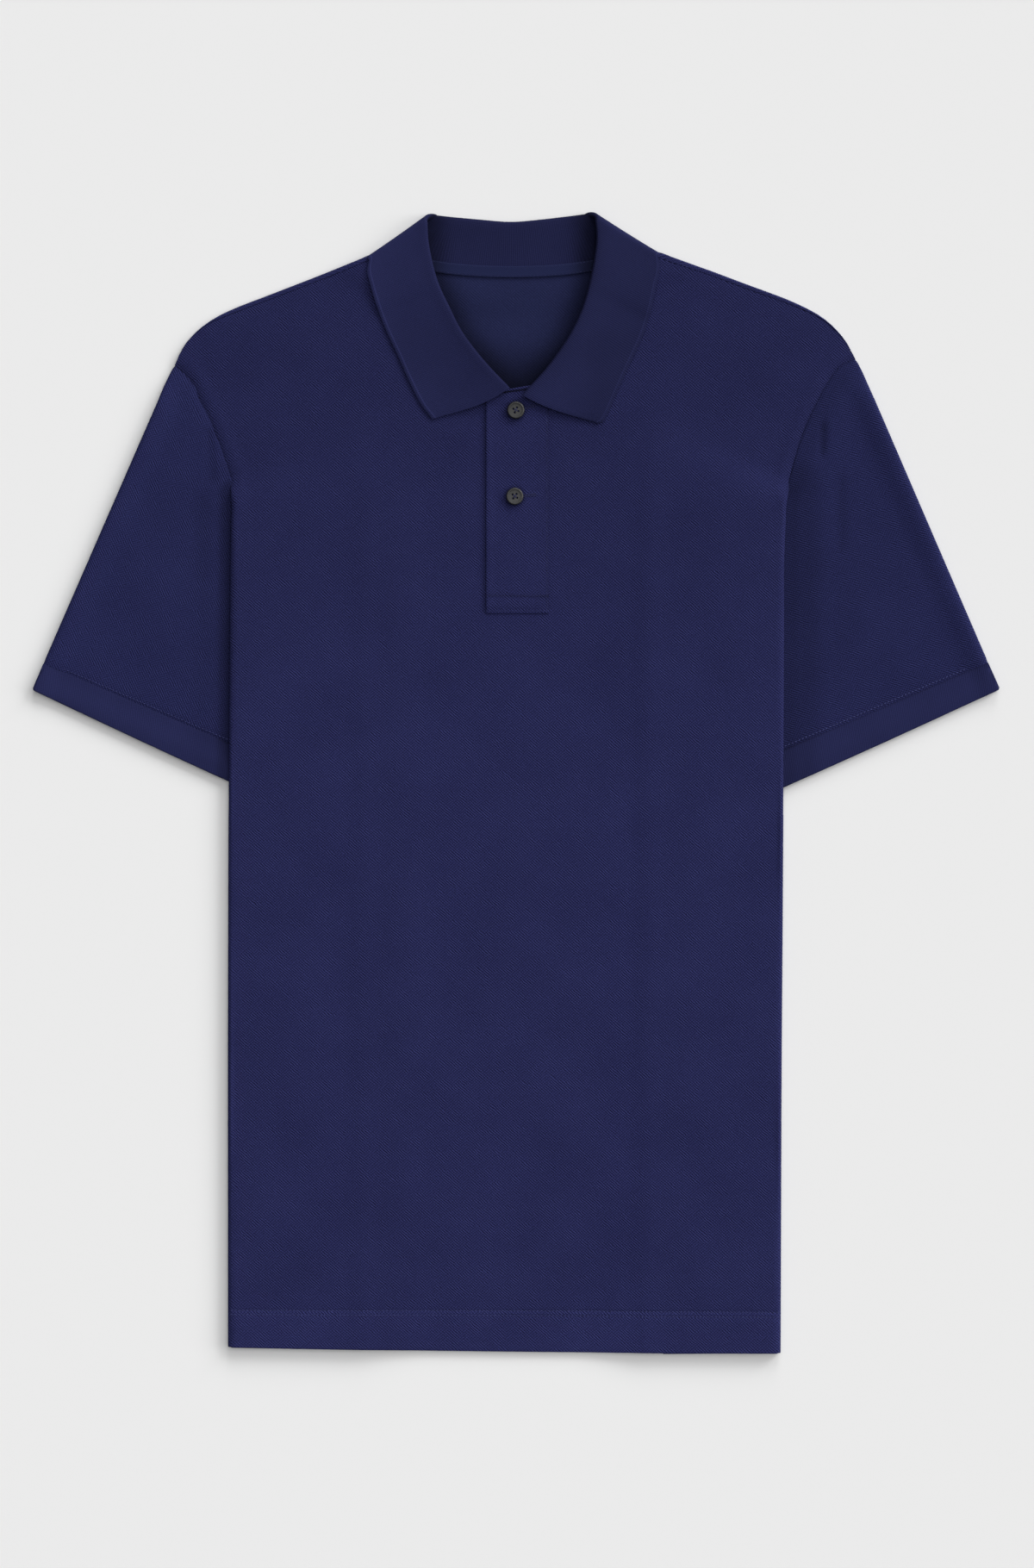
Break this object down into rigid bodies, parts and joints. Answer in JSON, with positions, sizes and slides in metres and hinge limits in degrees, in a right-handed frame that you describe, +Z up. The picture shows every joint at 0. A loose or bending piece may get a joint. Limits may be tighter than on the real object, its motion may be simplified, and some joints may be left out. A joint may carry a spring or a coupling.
{
  "type": "polo shirt",
  "caption": "Short-sleeved knit polo shirt laid flat with its sides folded under, with a fold-over collar, a buttoned placket and rib cuffs.",
  "frame": {"origin": "on the surface that the shirt lies on, under the middle of its box", "axes": "+Z up from that surface, +Y from the hem to the collar, +X to the viewer's right of someone who looks down on the front with the collar away"},
  "size_m": [0.6508, 0.7685, 0.009],
  "materials": {
    "pique": "matte",
    "rib": "matte",
    "tape": "matte",
    "horn": "satin"
  },
  "bodies": {
    "root": {"front": "pique", "back": "pique", "sleeve_left": "pique", "sleeve_right": "pique", "cuff_left": "rib", "cuff_right": "rib", "collar": "rib", "neck_tape": "tape", "placket_upper": "pique", "placket_under": "pique", "button_upper": "horn", "button_lower": "horn"}
  },
  "joints": []
}
